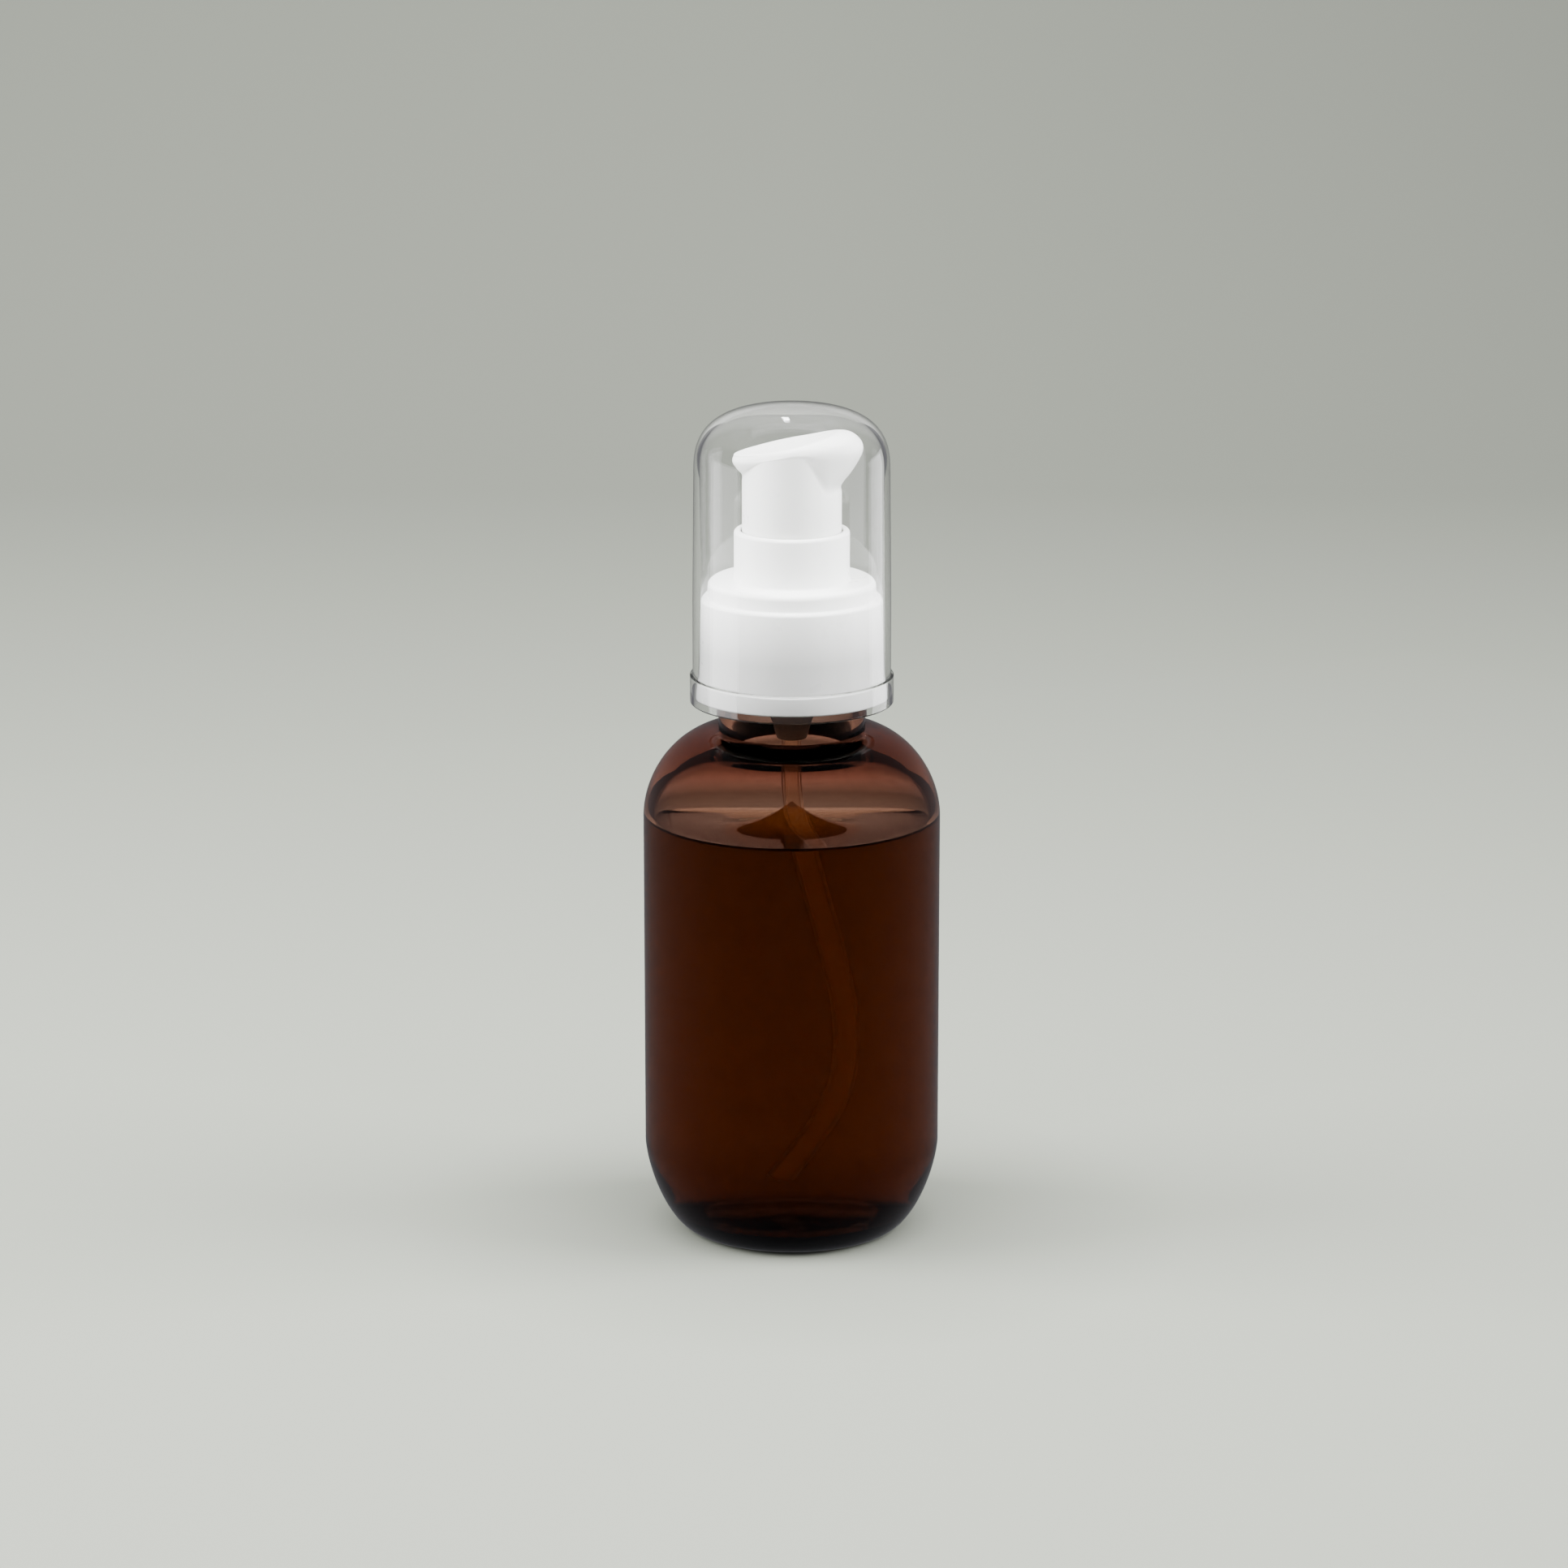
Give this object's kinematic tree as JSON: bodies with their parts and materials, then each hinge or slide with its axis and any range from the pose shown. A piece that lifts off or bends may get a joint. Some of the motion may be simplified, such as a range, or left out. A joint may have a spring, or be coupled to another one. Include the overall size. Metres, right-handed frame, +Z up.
{
  "type": "pump bottle",
  "caption": "Amber bottle with a white screw-on lotion pump, a short spout, a curved dip tube and a clear domed overcap.",
  "frame": {"origin": "centre of the bottle's base, on the surface it stands on", "axes": "+Z up the bottle's axis, the spout points along +X"},
  "size_m": [0.044, 0.044, 0.1245],
  "materials": {
    "amber": "clear amber PET, glossy",
    "clear_cap": "water-clear styrene plastic, glossy",
    "white_pp": "white polypropylene, semi-gloss",
    "natural_pp": "natural polypropylene, satin",
    "soft_pe": "soft polyethylene, satin",
    "gasket_foam": "foamed polyethylene, matt",
    "tube_pe": "natural polyethylene, satin",
    "spring_steel": "stainless wire",
    "ball_glass": "glass ball"
  },
  "bodies": {
    "bottle": {"bottle": "amber"},
    "pump_body": {"housing": "natural_pp", "chaplet": "white_pp", "gasket": "gasket_foam", "dip_tube": "tube_pe", "spring": "spring_steel"},
    "closure": {"closure": "white_pp"},
    "overcap": {"overcap": "clear_cap"},
    "stem": {"stem": "white_pp", "shaft": "natural_pp"},
    "piston": {"piston": "soft_pe"},
    "check_ball": {"check_ball": "ball_glass"},
    "actuator": {"actuator": "white_pp"}
  },
  "joints": [
    {"name": "pump_lift", "type": "slide", "parent": "bottle", "child": "pump_body", "axis": [0, 0, 1], "range_m": [0, 0.0044]},
    {"name": "closure_turn", "type": "hinge", "parent": "pump_body", "child": "closure", "pos_m": [0, 0, 0.09], "axis": [0, 0, 1], "range_deg": [0, 480]},
    {"name": "overcap_lift", "type": "slide", "parent": "closure", "child": "overcap", "axis": [0, 0, 1], "range_m": [0, 0.045]},
    {"name": "actuator_press", "type": "slide", "parent": "pump_body", "child": "stem", "axis": [0, 0, -1], "range_m": [0, 0.0058], "stiffness_N_per_m": 800, "springref_m": -0.006, "deforming": ["spring"]},
    {"name": "actuator_swivel", "type": "hinge", "parent": "stem", "child": "actuator", "pos_m": [0, 0, 0.11], "axis": [0, 0, 1], "continuous": true},
    {"name": "piston_slip", "type": "slide", "parent": "stem", "child": "piston", "axis": [0, 0, 1], "range_m": [0, 0.0006]},
    {"name": "check_ball_lift", "type": "slide", "parent": "pump_body", "child": "check_ball", "axis": [0, 0, 1], "range_m": [0, 0.0008]}
  ],
  "couplings": [
    {"joint": "pump_lift", "follows": "closure_turn", "m_per_rad": 0.00050532}
  ]
}
